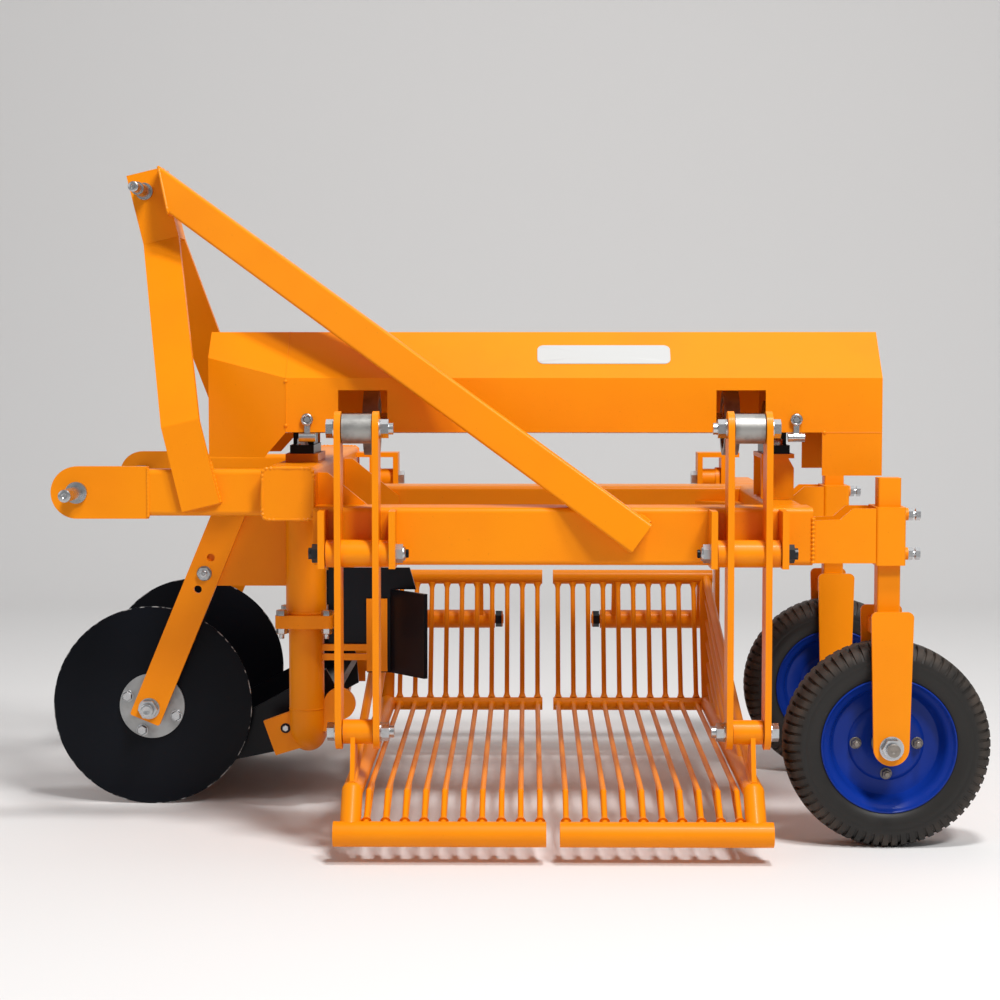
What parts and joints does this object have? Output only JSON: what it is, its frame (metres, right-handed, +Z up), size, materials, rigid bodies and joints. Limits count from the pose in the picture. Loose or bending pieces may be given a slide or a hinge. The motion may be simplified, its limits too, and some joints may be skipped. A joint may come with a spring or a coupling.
{
  "type": "mounted potato digger",
  "caption": "Tractor-mounted one-row potato digger with share, coulter discs, shaking side-delivery rod sieves and two depth wheels.",
  "frame": {"origin": "middle of the machine's footprint on the ground, under the middle of its box", "axes": "+X rearward, away from the tractor; +Y to the machine's right, seen facing forward from behind; +Z up"},
  "size_m": [1.7159, 1.1955, 1.2099],
  "materials": {
    "orange_paint": "gloss orange powder coat",
    "black_paint": "black paint",
    "zinc": "zinc plate",
    "casting": "bare casting",
    "rim_blue": "gloss royal blue paint",
    "tyre": "dark rubber"
  },
  "bodies": {
    "frame": {"link_arms": "orange_paint", "lower_link_pins": "zinc", "mast_bars": "orange_paint", "top_link_pin": "zinc", "mast_brace": "orange_paint", "front_cross_tube": "orange_paint", "left_beam": "orange_paint", "right_beam": "orange_paint", "rear_cross_tube": "orange_paint", "left_post_clamp": "orange_paint", "right_post_clamp": "orange_paint", "clamp_screws": "zinc", "rocker_plates": "orange_paint", "hanger_plates": "orange_paint", "shaft_stands": "orange_paint", "shaft_bearings": "black_paint", "left_leg": "orange_paint", "right_leg": "orange_paint", "digging_share": "black_paint", "row_side_board": "black_paint", "deflector_board": "black_paint", "disc_arms": "orange_paint", "disc_axles": "zinc", "pivot_bolts": "zinc", "shaft_hood": "orange_paint", "hood_clips": "zinc"},
    "left_disc": {"left_disc": "black_paint", "left_disc_hub": "zinc"},
    "right_disc": {"right_disc": "black_paint", "right_disc_hub": "zinc"},
    "left_post": {"left_wheel_post": "orange_paint", "left_axle": "zinc"},
    "right_post": {"right_wheel_post": "orange_paint", "right_axle": "zinc"},
    "left_wheel": {"left_tyre": "tyre", "left_rim": "rim_blue"},
    "right_wheel": {"right_tyre": "tyre", "right_rim": "rim_blue"},
    "drive_shaft": {"drive_shaft": "zinc"},
    "front_rocker": {"front_rocker": "orange_paint", "front_rocker_bolts": "zinc"},
    "rear_rocker": {"rear_rocker": "orange_paint", "rear_rocker_bolts": "zinc"},
    "front_conrod": {"front_conrod": "casting"},
    "rear_conrod": {"rear_conrod": "casting"},
    "front_sieve": {"front_sieve": "orange_paint"},
    "rear_sieve": {"rear_sieve": "orange_paint"},
    "front_hanger": {"front_hanger": "orange_paint"},
    "rear_hanger": {"rear_hanger": "orange_paint"}
  },
  "joints": [
    {"name": "left_disc_spin", "type": "hinge", "parent": "frame", "child": "left_disc", "pos_m": [-0.668, -0.06625, 0.19], "axis": [0, 1, 0], "continuous": true},
    {"name": "left_post_slide", "type": "slide", "parent": "frame", "child": "left_post", "axis": [0, 0, 1], "range_m": [-0.045, 0.07]},
    {"name": "left_wheel_spin", "type": "hinge", "parent": "left_post", "child": "left_wheel", "pos_m": [0.678, -0.40425, 0.18], "axis": [0, 1, 0], "continuous": true},
    {"name": "right_disc_spin", "type": "hinge", "parent": "frame", "child": "right_disc", "pos_m": [-0.668, 0.49175, 0.19], "axis": [0, 1, 0], "continuous": true},
    {"name": "right_post_slide", "type": "slide", "parent": "frame", "child": "right_post", "axis": [0, 0, 1], "range_m": [-0.045, 0.07]},
    {"name": "right_wheel_spin", "type": "hinge", "parent": "right_post", "child": "right_wheel", "pos_m": [0.678, 0.29575, 0.18], "axis": [0, 1, 0], "continuous": true},
    {"name": "drive_shaft_spin", "type": "hinge", "parent": "frame", "child": "drive_shaft", "pos_m": [0.05, -0.11425, 0.732], "axis": [1, 0, 0], "continuous": true},
    {"name": "front_rocker_swing", "type": "hinge", "parent": "frame", "child": "front_rocker", "pos_m": [-0.242, -0.48425, 0.518], "axis": [1, 0, 0], "range_deg": [-2.09, 2.09]},
    {"name": "front_sieve_hang", "type": "hinge", "parent": "front_rocker", "child": "front_sieve", "pos_m": [-0.242, -0.48425, 0.21], "axis": [1, 0, 0], "range_deg": [-2.09, 2.09]},
    {"name": "front_conrod_pivot", "type": "hinge", "parent": "front_rocker", "child": "front_conrod", "pos_m": [-0.242, -0.48425, 0.732], "axis": [1, 0, 0], "range_deg": [-2.09, 2.09]},
    {"name": "front_hanger_swing", "type": "hinge", "parent": "frame", "child": "front_hanger", "pos_m": [-0.242, 0.56975, 0.592], "axis": [1, 0, 0], "range_deg": [-2.09, 2.09]},
    {"name": "rear_rocker_swing", "type": "hinge", "parent": "frame", "child": "rear_rocker", "pos_m": [0.428, -0.48425, 0.518], "axis": [1, 0, 0], "range_deg": [-2.09, 2.09]},
    {"name": "rear_sieve_hang", "type": "hinge", "parent": "rear_rocker", "child": "rear_sieve", "pos_m": [0.428, -0.48425, 0.21], "axis": [1, 0, 0], "range_deg": [-2.09, 2.09]},
    {"name": "rear_conrod_pivot", "type": "hinge", "parent": "rear_rocker", "child": "rear_conrod", "pos_m": [0.428, -0.48425, 0.732], "axis": [1, 0, 0], "range_deg": [-2.09, 2.09]},
    {"name": "rear_hanger_swing", "type": "hinge", "parent": "frame", "child": "rear_hanger", "pos_m": [0.428, 0.56975, 0.592], "axis": [1, 0, 0], "range_deg": [-2.09, 2.09]}
  ],
  "couplings": [
    {"joint": "front_sieve_hang", "follows": "front_rocker_swing", "ratio": -1},
    {"joint": "front_conrod_pivot", "follows": "front_rocker_swing", "ratio": -1},
    {"joint": "front_hanger_swing", "follows": "front_rocker_swing", "ratio": 1},
    {"joint": "rear_sieve_hang", "follows": "rear_rocker_swing", "ratio": -1},
    {"joint": "rear_conrod_pivot", "follows": "rear_rocker_swing", "ratio": -1},
    {"joint": "rear_hanger_swing", "follows": "rear_rocker_swing", "ratio": 1}
  ]
}
